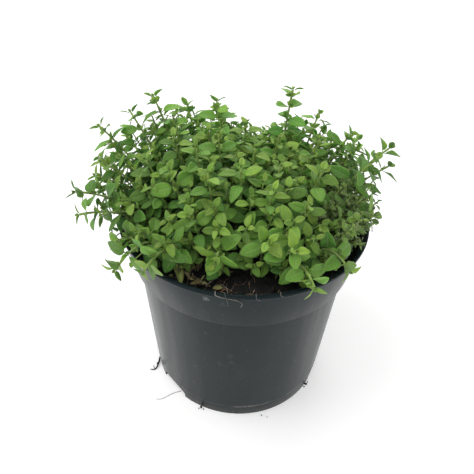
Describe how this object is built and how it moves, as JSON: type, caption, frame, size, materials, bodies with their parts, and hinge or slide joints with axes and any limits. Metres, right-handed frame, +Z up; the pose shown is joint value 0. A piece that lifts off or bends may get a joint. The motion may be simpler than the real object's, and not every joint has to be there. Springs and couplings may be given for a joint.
{
  "type": "potted oregano",
  "caption": "Bushy potted oregano: leafy square stems with opposite ovate leaves, standing in potting soil in a round tapered plastic nursery pot.",
  "frame": {"origin": "on the table, under the pot's axis, at the middle of the flat disc under the pot", "axes": "+Z up along the pot's axis; -Y towards the viewer of the picture; +X to the viewer's right"},
  "size_m": [0.244, 0.2103, 0.2367],
  "materials": {
    "pot_plastic": "satin injection-moulded dark slate-grey plastic with light dust and scuffs",
    "soil": "rough dark potting mix with bark crumbs and fine roots",
    "oregano_leaf": "matt, finely hairy green leaf, brighter at the tips, on pale green stems"
  },
  "bodies": {
    "root": {"pot": "pot_plastic", "soil": "soil", "stem_01": "oregano_leaf", "stem_02": "oregano_leaf", "stem_03": "oregano_leaf", "stem_04": "oregano_leaf", "stem_05": "oregano_leaf", "stem_06": "oregano_leaf", "stem_07": "oregano_leaf", "stem_08": "oregano_leaf", "stem_09": "oregano_leaf", "stem_10": "oregano_leaf", "stem_11": "oregano_leaf", "stem_12": "oregano_leaf", "stem_13": "oregano_leaf", "stem_14": "oregano_leaf", "stem_15": "oregano_leaf", "stem_16": "oregano_leaf", "stem_17": "oregano_leaf", "stem_18": "oregano_leaf", "stem_19": "oregano_leaf", "stem_20": "oregano_leaf", "stem_21": "oregano_leaf", "stem_22": "oregano_leaf", "stem_23": "oregano_leaf", "stem_24": "oregano_leaf", "stem_25": "oregano_leaf", "stem_26": "oregano_leaf", "stem_27": "oregano_leaf", "stem_28": "oregano_leaf", "stem_29": "oregano_leaf", "stem_30": "oregano_leaf", "stem_31": "oregano_leaf", "stem_32": "oregano_leaf", "stem_33": "oregano_leaf", "stem_34": "oregano_leaf", "stem_35": "oregano_leaf", "stem_36": "oregano_leaf", "stem_37": "oregano_leaf", "stem_38": "oregano_leaf", "stem_39": "oregano_leaf", "stem_40": "oregano_leaf", "stem_41": "oregano_leaf", "stem_42": "oregano_leaf", "stem_43": "oregano_leaf", "stem_44": "oregano_leaf", "stem_45": "oregano_leaf", "stem_46": "oregano_leaf"}
  },
  "joints": []
}
